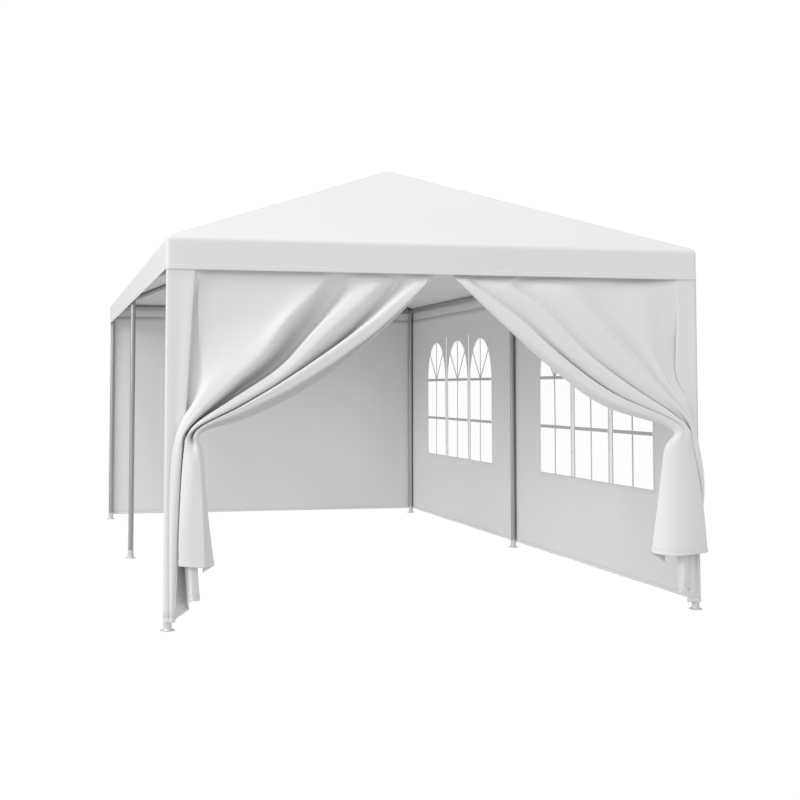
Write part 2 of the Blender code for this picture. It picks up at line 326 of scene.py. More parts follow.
def ring_outline(half_width, half_length, corner):
    """Points round a rectangle with round corners, anticlockwise seen from above."""
    points = []
    inner = (half_width - corner, half_length - corner)
    for turn, steps in ((0, END_STEPS), (1, SIDE_STEPS), (2, END_STEPS), (3, SIDE_STEPS)):
        reach, distance = (inner[0], half_length) if turn % 2 == 0 else (inner[1], half_width)
        spin = Matrix.Rotation(math.radians(90) * turn, 2)
        for step in range(steps):
            along = -reach + 2 * reach * step / steps
            points.append(spin @ Vector((along, -distance)))
        middle = Vector((reach, -distance + corner))
        for step in range(CORNER_STEPS):
            angle = -math.pi / 2 + math.pi / 2 * step / CORNER_STEPS
            points.append(spin @ (middle + corner * Vector((math.cos(angle), math.sin(angle)))))
    return points


def sag(x, y, share):
    """How far a roof point hangs below its panel's plane; nothing at hips, ridge and rafters."""
    down_panel = math.sin(math.pi * min(max(share, 0.0), 1.0))
    side = abs(x) / COVER_HALF_WIDTH
    end = (abs(y) - RIDGE_HALF_LENGTH) / (COVER_HALF_LENGTH - RIDGE_HALF_LENGTH)
    if end > side:
        along = 1.0 - side / max(end, 1e-6)
        return PANEL_SAG * END_SAG_SHARE * down_panel * math.sin(math.pi / 2 * along)
    half_span = RIDGE_HALF_LENGTH + share * (COVER_HALF_LENGTH - RIDGE_HALF_LENGTH)
    return PANEL_SAG * down_panel * abs(math.sin(math.pi * abs(y) / half_span))


def cover_profile():
    """(share of the way from ridge to eave, height, is it roof) down the cover."""
    rise = RIDGE_TOP - EAVE_TOP
    slope = rise / COVER_HALF_WIDTH
    rings = []
    fold_share = 1 - EAVE_FOLD / COVER_HALF_WIDTH
    for step in range(ROOF_RINGS):
        share = fold_share * step / ROOF_RINGS
        run = share * COVER_HALF_WIDTH
        rounded = math.hypot(run, RIDGE_ROUND) - RIDGE_ROUND * math.exp(-run / RIDGE_BLEND)
        rings.append((share, RIDGE_TOP - slope * rounded, True))
    start = Vector((fold_share, RIDGE_TOP - slope * fold_share * COVER_HALF_WIDTH))
    corner = Vector((1.0, EAVE_TOP))
    end = Vector((1.0, EAVE_TOP - EAVE_FOLD))
    for step in range(FOLD_RINGS):
        t = step / FOLD_RINGS
        point = start * (1 - t) ** 2 + corner * (2 * t * (1 - t)) + end * t ** 2
        rings.append((point.x, point.y, False))
    for step in range(VALANCE_RINGS + 1):
        t = step / VALANCE_RINGS
        rings.append((1.0, end.y + (VALANCE_BOTTOM - end.y) * t, False))
    return rings


def make_cover():
    """Rings of points round the cover, from the ridge down to the valance's edge."""
    rows = []
    for share, height, is_roof in cover_profile():
        half_width = share * COVER_HALF_WIDTH
        half_length = RIDGE_HALF_LENGTH + share * (COVER_HALF_LENGTH - RIDGE_HALF_LENGTH)
        corner = HIP_ROUND * min(share / HIP_BLEND, 1.0)
        row = []
        for x, y in ring_outline(half_width, half_length, corner):
            drop = sag(x, y, share) if is_roof else 0.0
            row.append((x, y, height - drop))
        rows.append(row)
    return rows


def hem_band(name, grid, material, closed=False):
    """The folded hem round a sheet's bottom edge: it laps both faces and has one row of stitches."""
    grid = np.asarray(grid, float)
    upward = grid[::-1]
    reach = np.zeros(grid.shape[:2])
    reach[1:] = np.cumsum(np.linalg.norm(np.diff(upward, axis=0), axis=2), axis=0)
    down = grid[-1] - grid[-2]
    down /= np.linalg.norm(down, axis=1, keepdims=True)
    if closed:
        across = np.roll(grid[-1], -1, axis=0) - np.roll(grid[-1], 1, axis=0)
    else:
        across = np.gradient(grid[-1], axis=0)
    outward = np.cross(down, across)
    outward /= np.linalg.norm(outward, axis=1, keepdims=True)
    back = -SHEET_THICKNESS
    heights = (HEM_DEPTH - HEM_BEVEL, HEM_DEPTH * 0.6, HEM_DEPTH * 0.25, HEM_BEVEL)
    profile = [(HEM_DEPTH, 0.0)] + [(height, HEM_LIFT) for height in heights]
    profile.append((-HEM_BULGE, back / 2))
    profile += [(height, back - HEM_LIFT) for height in reversed(heights)] + [(HEM_DEPTH, back)]
    rows = []
    for distance, offset in profile:
        row = []
        for column in range(grid.shape[1]):
            spot = np.array([np.interp(distance, reach[:, column], upward[:, column, axis])
                             for axis in range(3)])
            spot += down[column] * max(-distance, 0.0)
            row.append(spot + outward[column] * offset)
        rows.append(row)
    return surface_object(name, rows, material, closed)


def hip_seam(name, rows, first, material):
    """The lapped seam over one hip: a narrow raised band along the cover's rounded corner."""
    rings = slice(SEAM_START, ROOF_RINGS + FOLD_RINGS)
    strip = np.asarray(rows, float)[rings, first + 1:first + CORNER_STEPS]
    down = np.gradient(strip, axis=0)
    across = np.gradient(strip, axis=1)
    outward = np.cross(down, across)
    outward /= np.linalg.norm(outward, axis=2, keepdims=True)
    lift = np.full(strip.shape[1], SEAM_LIFT)
    lift[0] = lift[-1] = 0.0
    strip = strip + outward * lift[None, :, None]
    return surface_object(name, strip.transpose(1, 0, 2)[::-1], material)


def stitch_group():
    """Rows of short stitches along a band's two edges: a mask that pulls the cloth in."""
    group = bpy.data.node_groups.new("stitch_rows", "ShaderNodeTree")
    socket(group, "Band width", "NodeSocketFloat", default=0.05)
    socket(group, "Stitch length", "NodeSocketFloat", default=0.004)
    socket(group, "Mask", "NodeSocketFloat", "OUTPUT")
    nodes = group.nodes
    links = group.links
    given = nodes.new("NodeGroupInput")
    result = nodes.new("NodeGroupOutput")
    place = nodes.new("ShaderNodeTexCoord")
    split = nodes.new("ShaderNodeSeparateXYZ")
    links.new(place.outputs["UV"], split.inputs["Vector"])
    half = calculate(group, "MULTIPLY", given.outputs["Band width"], 0.5)
    from_middle = calculate(group, "ABSOLUTE", calculate(group, "SUBTRACT", split.outputs["Y"], half))
    row = calculate(group, "SUBTRACT", half, STITCH_INSET)
    line = calculate(group, "COMPARE", from_middle, row, STITCH_HALF_WIDTH)
    turn = calculate(group, "DIVIDE", split.outputs["X"], given.outputs["Stitch length"])
    dash = calculate(group, "LESS_THAN", calculate(group, "FRACT", turn), STITCH_SHARE)
    links.new(calculate(group, "MULTIPLY", line, dash), result.inputs["Mask"])
    return group


stitches = stitch_group()


def stitched(name, colour, band_width):
    """The woven sheet with its stitch rows: darker and pulled in where the thread lies."""
    material = woven(name, colour)
    nodes = material.node_tree.nodes
    links = material.node_tree.links
    rows = nodes.new("ShaderNodeGroup")
    rows.node_tree = stitches
    rows.inputs["Band width"].default_value = band_width
    tone = nodes.new("ShaderNodeMapRange")
    tone.inputs["To Min"].default_value = 1.0
    tone.inputs["To Max"].default_value = THREAD_TONE
    links.new(rows.outputs["Mask"], tone.inputs["Value"])
    thread = nodes.new("ShaderNodeHueSaturation")
    shader = nodes["Principled BSDF"]
    sheet = next(node for node in nodes if node.type == "GROUP" and node.node_tree == weave)
    links.new(sheet.outputs["Colour"], thread.inputs["Color"])
    links.new(tone.outputs["Result"], thread.inputs["Value"])
    links.new(thread.outputs["Color"], shader.inputs["Base Color"])
    pulled = calculate(material.node_tree, "SUBTRACT", sheet.outputs["Height"], rows.outputs["Mask"])
    links.new(pulled, nodes["Bump"].inputs["Height"])
    return material


cover_sheet = woven("cover_sheet", COVER_WHITE)
sewn_hem = stitched("sewn_hem", COVER_WHITE, HEM_WIDTH)
sewn_seam = stitched("sewn_seam", COVER_WHITE, SEAM_WIDTH)
cover_rows = make_cover()
cover = thicken(surface_object("cover", cover_rows, cover_sheet, closed=True), SHEET_THICKNESS)
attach(cover, "root")
cover_trims = [hem_band("valance_hem", cover_rows, sewn_hem, closed=True)]
for index, corner in enumerate(("front_right", "back_right", "back_left", "front_left")):
    first = END_STEPS + index * CORNER_STEPS + (index + 1) // 2 * SIDE_STEPS + index // 2 * END_STEPS
    cover_trims.append(hip_seam(corner + "_hip_seam", cover_rows, first, sewn_seam))
for trim in cover_trims:
    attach(trim, "root")
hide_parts("roof_front", "roof_back", "roof_left", "roof_right",
            "valance_front", "valance_back", "valance_left", "valance_right")

# Walls: flat hemmed sheets of the same woven stuff, hung on the outside of the
# posts and tucked up behind the valance. They end 45 mm above the ground. The
# back wall is plain; each right wall has a window of three arched lights.
WALL_PLANE = 0.0223
WALL_BOTTOM = 0.045
WALL_TOP = 1.950
WALL_WRAP = 0.0205
WALL_COLUMNS = 60
WALL_ROWS = 40
WALL_SWAY = 0.004
SWAY_AT_TOP = 0.3
BACK_HALF_WIDTH = 1.523
BAYS = (("front", FRONT_LINE / 2, FRONT_LINE - WALL_WRAP, 0.0),
        ("back", -FRONT_LINE / 2, 0.0, WALL_WRAP - FRONT_LINE))
LIGHT_PITCH = 0.652
LIGHT_WIDTH = 0.575
WINDOW_SILL = 0.632
ARCH_SPRING = 1.337
ARCH_TOP = 1.691
ARCH_STEPS = 24
MULLION_SLOT = 0.042
MULLION_TOP = 1.735
CUT_REACH = 0.05


def sway(along, height, start, end):
    """How far a hung wall stands off its plane: loose in the middle of a bay and at the hem."""
    across = math.sin(math.pi * min(max((along - start) / (end - start), 0.0), 1.0))
    down = (WALL_TOP - height) / (WALL_TOP - WALL_BOTTOM)
    ripple = math.sin(5.1 * along + 1.3) + 0.6 * math.sin(9.7 * along + 4.0 * height)
    return WALL_SWAY * across * (SWAY_AT_TOP + (1.0 - SWAY_AT_TOP) * down) * ripple


def wall_rows(start, end, place):
    """Grid of a hung wall; place turns (along, height, outward) into a point."""
    grid = []
    for row in range(WALL_ROWS + 1):
        height = WALL_TOP + (WALL_BOTTOM - WALL_TOP) * row / WALL_ROWS
        line = []
        for column in range(WALL_COLUMNS + 1):
            along = start + (end - start) * column / WALL_COLUMNS
            line.append(place(along, height, sway(along, height, start, end)))
        grid.append(line)
    return grid


def on_back(along, height, outward):
    return (along, -FRONT_LINE + WALL_PLANE + outward, height)


def on_right(along, height, outward):
    return (POST_LINE + WALL_PLANE + outward, along, height)


wall_sheet = woven("wall_sheet", COVER_WHITE)
back_rows = wall_rows(BACK_HALF_WIDTH, -BACK_HALF_WIDTH, on_back)
back_wall = thicken(surface_object("back_wall_sheet", back_rows, wall_sheet), SHEET_THICKNESS)
back_hem = hem_band("back_wall_hem", back_rows, sewn_hem)
for piece in (back_hem, back_wall):
    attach(piece, "root")
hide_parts("back_wall")


def arch_outline(centre):
    """Outline of one window light: straight sill and sides, and an arched top."""
    half = LIGHT_WIDTH / 2
    points = [(centre - half, WINDOW_SILL), (centre + half, WINDOW_SILL)]
    for step in range(ARCH_STEPS + 1):
        angle = math.pi * step / ARCH_STEPS
        height = ARCH_SPRING + (ARCH_TOP - ARCH_SPRING) * math.sin(angle)
        points.append((centre + half * math.cos(angle), height))
    return points


def apply_all(piece):
    """Turns a piece's modifiers into plain mesh."""
    bpy.context.view_layer.update()
    evaluated = piece.evaluated_get(bpy.context.evaluated_depsgraph_get())
    mesh = bpy.data.meshes.new_from_object(evaluated)
    piece.modifiers.clear()
    piece.data = mesh


def cut_through(piece, outlines, place):
    """Cuts flat outlines right through a sheet that is already thick."""
    shape = bmesh.new()
    for outline in outlines:
        near = [shape.verts.new(place(u, v, -CUT_REACH)) for u, v in outline]
        far = [shape.verts.new(place(u, v, CUT_REACH)) for u, v in outline]
        shape.faces.new(near)
        shape.faces.new(far)
        for here in range(len(outline)):
            after = (here + 1) % len(outline)
            shape.faces.new((near[here], near[after], far[after], far[here]))
    bmesh.ops.recalc_face_normals(shape, faces=shape.faces)
    mesh = bpy.data.meshes.new(piece.name + "_cutter")
    shape.to_mesh(mesh)
    shape.free()
    cutter = bpy.data.objects.new(mesh.name, mesh)
    bpy.context.scene.collection.objects.link(cutter)
    cut = piece.modifiers.new("openings", "BOOLEAN")
    cut.operation = "DIFFERENCE"
    cut.object = cutter
    apply_all(piece)
    bpy.data.objects.remove(cutter)


for bay, centre, start, end in BAYS:
    rows = wall_rows(start, end, on_right)
    wall = surface_object("right_" + bay + "_wall_sheet", rows, wall_sheet)
    thicken(wall, SHEET_THICKNESS)
    hem = hem_band("right_" + bay + "_wall_hem", rows, sewn_hem)
    lights = [arch_outline(centre + LIGHT_PITCH * step) for step in (-1, 0, 1)]
    for step in (-0.5, 0.5):
        near = centre + LIGHT_PITCH * step - MULLION_SLOT / 2
        far = near + MULLION_SLOT
        lights.append([(near, WINDOW_SILL), (far, WINDOW_SILL), (far, MULLION_TOP), (near, MULLION_TOP)])
    cut_through(wall, lights, on_right)
    for piece in (hem, wall):
        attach(piece, "root")
    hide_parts("right_" + bay + "_wall")

# Windows: behind each right wall a clear soft film closes three arched lights.
# Grey strips are welded on it: two bars across, one down the middle of each
# light and two slanting up from the upper bar. Milky strips close the mullions.
FILM_TINT = (0.93, 0.95, 0.95, 1.0)
FILM_ALPHA = 0.025
FILM_ROUGHNESS = (0.05, 0.16)
FILM_INSET = 0.0014
FILM_LAP = 0.03
FILM_THICKNESS = 0.0004
FILM_COLUMNS = 40
FILM_ROWS = 24
BAR_GREY = (0.50, 0.50, 0.50)
BAR_HEIGHTS = (0.976, 1.337)
BAR_WIDTH = 0.023
BAR_THICKNESS = 0.0012
MIDDLE_BAR_WIDTH = 0.019
SLANT_WIDTH = 0.017
SLANT_REACH = (0.207, 0.246)
RIBBON_STEP = 0.05
RIBBON_PROFILE = ((-0.5, 0.0), (-0.42, 1.0), (0.42, 1.0), (0.5, 0.0))
BAR_CLEARANCE = 0.002
MIDDLE_BAR_CLEARANCE = 0.003
MILKY_WHITE = (0.85, 0.86, 0.86)
MILKY_ALPHA = 0.4
MULLION_STRIP = 0.052
MULLION_LAP = 0.005


def clear_film():
    material = bpy.data.materials.new("clear_film")
    material.use_nodes = True
    nodes = material.node_tree.nodes
    links = material.node_tree.links
    shader = nodes["Principled BSDF"]
    shader.inputs["Base Color"].default_value = FILM_TINT
    shader.inputs["Alpha"].default_value = FILM_ALPHA
    place = nodes.new("ShaderNodeTexCoord")
    ripple = nodes.new("ShaderNodeTexNoise")
    ripple.inputs["Scale"].default_value = 7.0
    links.new(place.outputs["Object"], ripple.inputs["Vector"])
    gloss = nodes.new("ShaderNodeMapRange")
    gloss.inputs["To Min"].default_value, gloss.inputs["To Max"].default_value = FILM_ROUGHNESS
    links.new(ripple.outputs["Fac"], gloss.inputs["Value"])
    links.new(gloss.outputs["Result"], shader.inputs["Roughness"])
    bump = nodes.new("ShaderNodeBump")
    bump.inputs["Strength"].default_value = 0.3
    bump.inputs["Distance"].default_value = 0.004
    links.new(ripple.outputs["Fac"], bump.inputs["Height"])
    links.new(bump.outputs["Normal"], shader.inputs["Normal"])
    return material


def ribbon(shape, start, end, width, outward):
    """A flat strip with soft edges along a straight line on the wall."""
    start = Vector(start)
    end = Vector(end)
    side = (end - start).normalized()
    side = Vector((-side.y, side.x))
    steps = max(2, round((end - start).length / RIBBON_STEP))
    rings = []
    for step in range(steps + 1):
        middle = start.lerp(end, step / steps)
        ring = []
        for across, lift in RIBBON_PROFILE:
            spot = middle + side * across * width
            ring.append(shape.verts.new(outward(spot.x, spot.y, lift * BAR_THICKNESS)))
        rings.append(ring)
    for here, after in zip(rings, rings[1:]):
        for index in range(len(here)):
            following = (index + 1) % len(here)
            shape.faces.new((here[index], after[index], after[following], here[following]))
    shape.faces.new(rings[0])
    shape.faces.new(list(reversed(rings[-1])))


def bar_lines(centre):
    """The straight strips of one bay's window as (from, to, width), each as (along, height)."""
    half = LIGHT_WIDTH / 2 - BAR_CLEARANCE
    upper = BAR_HEIGHTS[1]
    lines = []
    for step in (-1, 0, 1):
        middle = centre + LIGHT_PITCH * step
        for height in BAR_HEIGHTS:
            lines.append(((middle - half, height), (middle + half, height), BAR_WIDTH))
        top = (middle, ARCH_TOP - MIDDLE_BAR_CLEARANCE)
        lines.append(((middle, WINDOW_SILL), top, MIDDLE_BAR_WIDTH))
        for side in (-1, 1):
            reach = (middle + side * SLANT_REACH[0], upper + SLANT_REACH[1])
            lines.append(((middle, upper), reach, SLANT_WIDTH))
    return lines


def mullion_lines(centre):
    """The two milky strips of one bay's window, in the same form."""
    lines = []
    for step in (-0.5, 0.5):
        middle = centre + LIGHT_PITCH * step
        foot = (middle, WINDOW_SILL - MULLION_LAP)
        lines.append((foot, (middle, MULLION_TOP + MULLION_LAP), MULLION_STRIP))
    return lines


def make_strips(name, lines, start, end, material):
    def outward(along, height, lift):
        return on_right(along, height, sway(along, height, start, end)
                        - SHEET_THICKNESS - FILM_INSET - lift)

    shape = bmesh.new()
    for first, last, width in lines:
        ribbon(shape, first, last, width, outward)
    bmesh.ops.recalc_face_normals(shape, faces=shape.faces)
    mesh = bpy.data.meshes.new(name)
    shape.to_mesh(mesh)
    shape.free()
    strips = bpy.data.objects.new(name, mesh)
    bpy.context.scene.collection.objects.link(strips)
    mesh.materials.append(material)
    return strips


def make_film(name, centre, start, end, material):
    half = LIGHT_PITCH + LIGHT_WIDTH / 2 + FILM_LAP
    rows = []
    for row in range(FILM_ROWS + 1):
        height = WINDOW_SILL - FILM_LAP + (ARCH_TOP - WINDOW_SILL + 2 * FILM_LAP) * row / FILM_ROWS
        line = []
        for column in range(FILM_COLUMNS + 1):
            along = centre - half + 2 * half * column / FILM_COLUMNS
            line.append(on_right(along, height, sway(along, height, start, end)
                                 - SHEET_THICKNESS - FILM_INSET / 2))
        rows.append(line)
    return thicken(surface_object(name, rows, material), FILM_THICKNESS)


film = clear_film()
bar_strip = woven("window_bar_strip", BAR_GREY, roughness=0.4, cloudiness=0.01)
milky_strip = woven("milky_strip", MILKY_WHITE, roughness=0.3, cloudiness=0.01)
milky_strip.node_tree.nodes["Principled BSDF"].inputs["Alpha"].default_value = MILKY_ALPHA
for bay, centre, start, end in BAYS:
    title = "right_" + bay
    pane = make_film(title + "_window_film", centre, start, end, film)
    bars = make_strips(title + "_window_bars", bar_lines(centre), start, end, bar_strip)
    milky = make_strips(title + "_mullion_strips", mullion_lines(centre), start, end, milky_strip)
    for piece in (pane, bars, milky):
        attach(piece, "root")
    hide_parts("right_" + bay + "_window")

# Front curtains: two hemmed woven halves of the front wall, each 1.5 m wide,
# hung behind the valance, drawn to the corner post and tied there at about
# 1.05 m. Below the tie the cloth hangs in deep pleats beside and over the post.
ROW_STEPS = 8
COLUMN_STEPS = 6
ROW_TENSION = 0.5
COLUMN_TENSION = 0.42
RELAX_ROUNDS = 2
POST_HEIGHTS = (1948, 1880, 1780, 1620, 1440, 1250, 1070, 900, 560, 45)


def upright(x, depth):
    """A thread that hangs straight down along the post."""
    return tuple((x, depth, height) for height in POST_HEIGHTS)


# Each thread runs down the cloth through ten points in millimetres: x, how far
# it is in front of (-) or behind (+) the front post line, and height.
LEFT_THREADS = (
    # turned back along the post's side
    upright(-1522, 30),
    # corner of the post
    upright(-1522, -14),
    # flat strip over the post
    upright(-1508, -22),
    # strip
    ((-1440, -22, 1948), (-1442, -22, 1880), (-1445, -22, 1780), (-1449, -22, 1620),
     (-1454, -22, 1440), (-1459, -22, 1250), (-1464, -22, 1070), (-1469, -22, 900),
     (-1478, -22, 560), (-1492, -22, 45)),
    # edge of the strip
    ((-1370, -20, 1948), (-1372, -22, 1880), (-1378, -26, 1780), (-1387, -26, 1620),
     (-1396, -26, 1440), (-1407, -26, 1250), (-1420, -26, 1070), (-1434, -25, 900),
     (-1454, -24, 560), (-1476, -24, 45)),
    # turn behind the strip
    ((-1378, -12, 1948), (-1384, -6, 1880), (-1392, 6, 1780), (-1402, 18, 1620), (-1412, 24, 1440),
     (-1424, 24, 1250), (-1438, 12, 1070), (-1450, 0, 900), (-1468, -8, 560), (-1486, -12, 45)),
    # out again past the strip
    ((-1350, -6, 1948), (-1348, 4, 1880), (-1350, 12, 1780), (-1356, 16, 1620), (-1364, 18, 1440),
     (-1380, 10, 1250), (-1404, -8, 1070), (-1424, -12, 900), (-1442, -16, 560), (-1462, -16, 45)),
    # flank of the soft part
    ((-1302, 20, 1948), (-1323, 14, 1880), (-1352, 4, 1783), (-1351, 0, 1591), (-1340, -9, 1432),
     (-1341, -26, 1253), (-1435, -36, 1097), (-1488, -34, 910), (-1497, -29, 573), (-1492, -27, 45)),
    # soft part
    ((-1200, 20, 1948), (-1229, 14, 1880), (-1270, -2, 1784), (-1280, -7, 1608), (-1297, -22, 1432),
     (-1327, -43, 1259), (-1433, -45, 1086), (-1478, -43, 910), (-1491, -37, 574), (-1487, -31, 45)),
    # soft part
    ((-1010, 20, 1948), (-1043, 14, 1880), (-1088, -4, 1787), (-1132, -13, 1615),
     (-1198, -35, 1449), (-1310, -55, 1269), (-1426, -55, 1071), (-1464, -51, 910),
     (-1481, -43, 574), (-1481, -33, 45)),
    # soft part
    ((-800, 18, 1948), (-827, 12, 1880), (-862, -10, 1790), (-972, -26, 1616), (-1110, -50, 1449),
     (-1267, -64, 1282), (-1419, -61, 1053), (-1452, -53, 910), (-1468, -43, 574), (-1475, -30, 45)),
    # first ridge
    ((-665, 14, 1948), (-694, 8, 1880), (-732, -22, 1792), (-899, -52, 1616), (-1024, -68, 1441),
     (-1200, -74, 1277), (-1412, -62, 1056), (-1439, -47, 910), (-1454, -36, 573), (-1468, -18, 45)),
    # fall to the first valley
    ((-630, 16, 1948), (-661, 10, 1880), (-700, -10, 1793), (-862, -28, 1596), (-995, -38, 1420),
     (-1180, -50, 1259), (-1403, -40, 1048), (-1431, -22, 909), (-1444, -5, 570), (-1458, 45, 45)),
    # first valley
    ((-590, 26, 1948), (-618, 20, 1880), (-651, 50, 1799), (-804, 86, 1574), (-948, 94, 1394),
     (-1150, 72, 1237), (-1397, -10, 1045), (-1424, 22, 906), (-1435, 50, 564), (-1424, 85, 62)),
    # hidden pleat
    ((-550, 30, 1948), (-577, 24, 1880), (-607, 70, 1801), (-762, 116, 1562), (-922, 122, 1373),
     (-1138, 96, 1224), (-1389, 46, 1042), (-1402, 48, 900), (-1412, 86, 508), (-1375, 140, 82)),
    # hidden pleat
    ((-500, 26, 1948), (-532, 20, 1880), (-570, 50, 1800), (-739, 80, 1558), (-915, 82, 1362),
     (-1151, 42, 1211), (-1391, 2, 1044), (-1390, 15, 900), (-1419, 20, 515), (-1399, 10, 132)),
    # second layer
    ((-455, 20, 1948), (-493, 14, 1880), (-539, 12, 1798), (-735, 16, 1567), (-923, 10, 1363),
     (-1172, -16, 1198), (-1394, -44, 1046), (-1392, -15, 900), (-1396, -30, 520), (-1376, -45, 155)),
    # right edge of the second layer
    ((-430, 18, 1948), (-471, 12, 1880), (-520, -1, 1799), (-733, -12, 1571), (-923, -22, 1366),
     (-1176, -40, 1200), (-1393, -52, 1046), (-1396, -12, 900), (-1360, -12, 517), (-1333, 4, 164)),
    # turn behind the skirt
    ((-405, 18, 1948), (-446, 12, 1880), (-495, -16, 1797), (-727, -38, 1575), (-922, -51, 1370),
     (-1177, -61, 1200), (-1393, -60, 1045), (-1405, -20, 900), (-1420, 40, 600), (-1428, 85, 345)),
    # second ridge
    ((-360, 14, 1948), (-398, 8, 1880), (-445, -26, 1797), (-696, -49, 1583), (-905, -62, 1365),
     (-1169, -69, 1190), (-1390, -68, 1043), (-1431, -56, 910), (-1449, -52, 575), (-1450, -16, 334)),
    # fall to the second valley
    ((-315, 16, 1948), (-348, 10, 1880), (-386, -26, 1800), (-634, -54, 1568), (-878, -66, 1338),
     (-1152, -69, 1168), (-1384, -67, 1040), (-1416, -70, 911), (-1433, -74, 576), (-1432, -44, 334)),
    # second valley
    ((-270, 24, 1948), (-295, 18, 1880), (-322, 14, 1807), (-567, 10, 1544), (-844, 4, 1319),
     (-1129, -10, 1154), (-1370, -32, 1036), (-1399, -77, 911), (-1407, -84, 577), (-1402, -60, 332)),
    # hidden pleat
    ((-235, 28, 1948), (-254, 22, 1880), (-272, 50, 1811), (-527, 64, 1538), (-814, 60, 1310),
     (-1110, 44, 1145), (-1359, 20, 1033), (-1383, -78, 911), (-1387, -86, 577), (-1377, -66, 330)),
    # hidden pleat
    ((-160, 18, 1948), (-201, 12, 1880), (-243, 12, 1811), (-518, 8, 1555), (-850, 2, 1318),
     (-1133, -6, 1153), (-1361, -20, 1035), (-1370, -78, 911), (-1364, -88, 576), (-1352, -70, 328)),
    # upper edge of the front band
    ((-115, 12, 1948), (-153, 6, 1880), (-191, -26, 1812), (-498, -52, 1569), (-857, -66, 1325),
     (-1137, -70, 1158), (-1364, -72, 1038), (-1357, -77, 911), (-1338, -90, 576), (-1323, -74, 329)),
    # front band
    ((-80, 10, 1948), (-117, 4, 1880), (-155, -32, 1808), (-460, -56, 1550), (-822, -67, 1305),
     (-1126, -71, 1147), (-1358, -72, 1037), (-1348, -73, 910), (-1327, -87, 575), (-1316, -70, 328)),
    # lower edge of the front band
    ((-40, 10, 1948), (-81, 4, 1880), (-126, -28, 1806), (-428, -36, 1535), (-790, -44, 1295),
     (-1110, -54, 1136), (-1348, -66, 1036), (-1336, -50, 909), (-1311, -46, 571), (-1300, -24, 325)),
    # hidden pleat
    ((-30, 20, 1948), (-73, 14, 1880), (-117, 30, 1809), (-404, 140, 1537), (-765, 170, 1292),
     (-1095, 110, 1129), (-1341, 0, 1030), (-1331, -10, 907), (-1302, 10, 565), (-1290, 30, 320)),
    # front edge
    ((-6, 18, 1948), (-51, 12, 1880), (-100, 14, 1807), (-401, 106, 1505), (-736, 130, 1256),
     (-1076, 80, 1093), (-1330, -6, 1022), (-1318, 18, 905), (-1279, 78, 558), (-1241, 128, 314)),
    # front edge turned in
    ((-12, 24, 1948), (-74, 18, 1880), (-131, 44, 1819), (-424, 150, 1526), (-751, 184, 1275),
     (-1081, 130, 1107), (-1333, 24, 1024), (-1329, 38, 899), (-1302, 98, 546), (-1304, 136, 275)),
)
